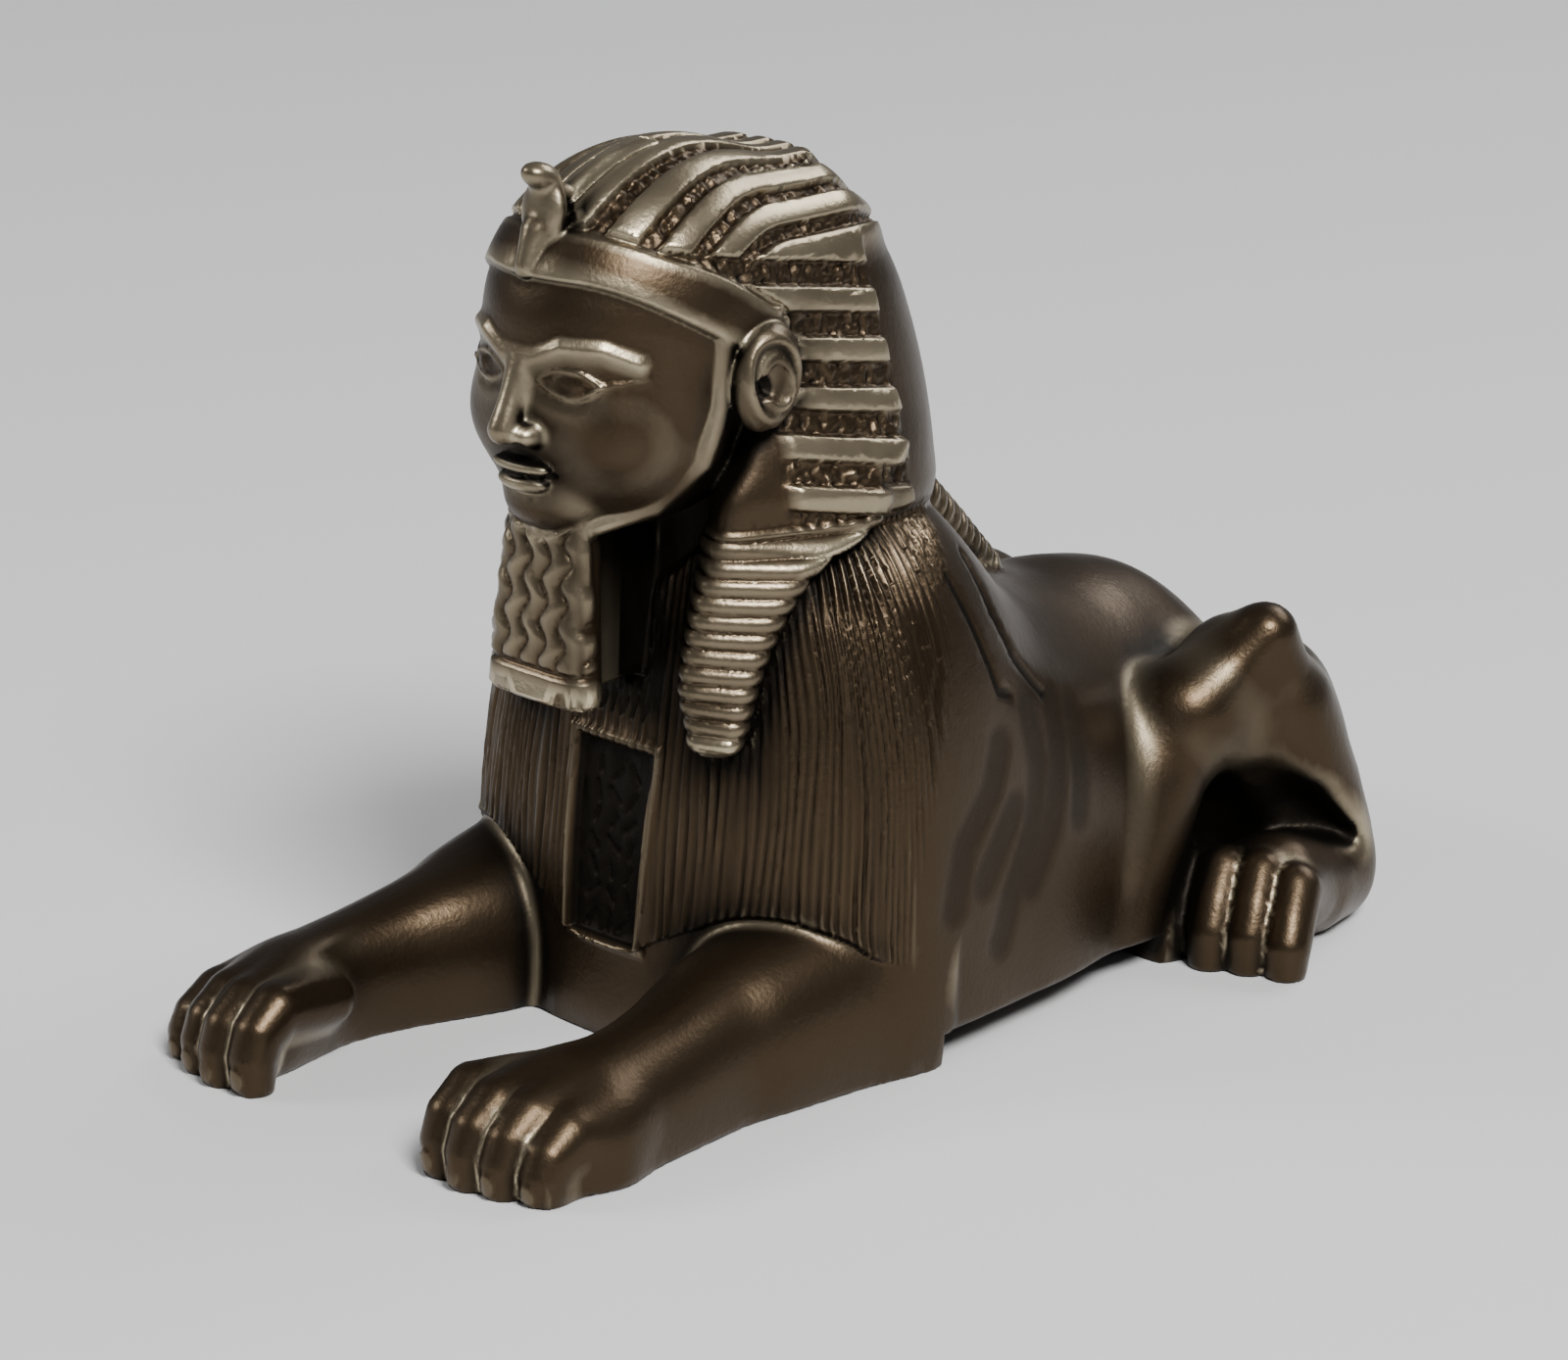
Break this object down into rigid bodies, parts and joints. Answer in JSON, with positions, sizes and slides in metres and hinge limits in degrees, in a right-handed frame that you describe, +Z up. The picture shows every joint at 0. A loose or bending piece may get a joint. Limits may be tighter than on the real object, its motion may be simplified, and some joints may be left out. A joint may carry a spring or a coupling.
{
  "type": "sphinx statue",
  "caption": "Desk figurine of a reclining sphinx in dark bronze finish: lion's body with forepaws stretched out, king's head in a pleated headcloth with false beard, cast in one piece.",
  "frame": {"origin": "centre of the underside's bounding box, on the surface that the figure stands on", "axes": "+Z up; the figure faces -Y along its length; +X is the figure's left side"},
  "size_m": [0.0738, 0.1203, 0.0843],
  "materials": {
    "bronze": "dark patinated bronze, satin, rubbed brighter on the high edges"
  },
  "bodies": {
    "root": {"sphinx": "bronze"}
  },
  "joints": []
}
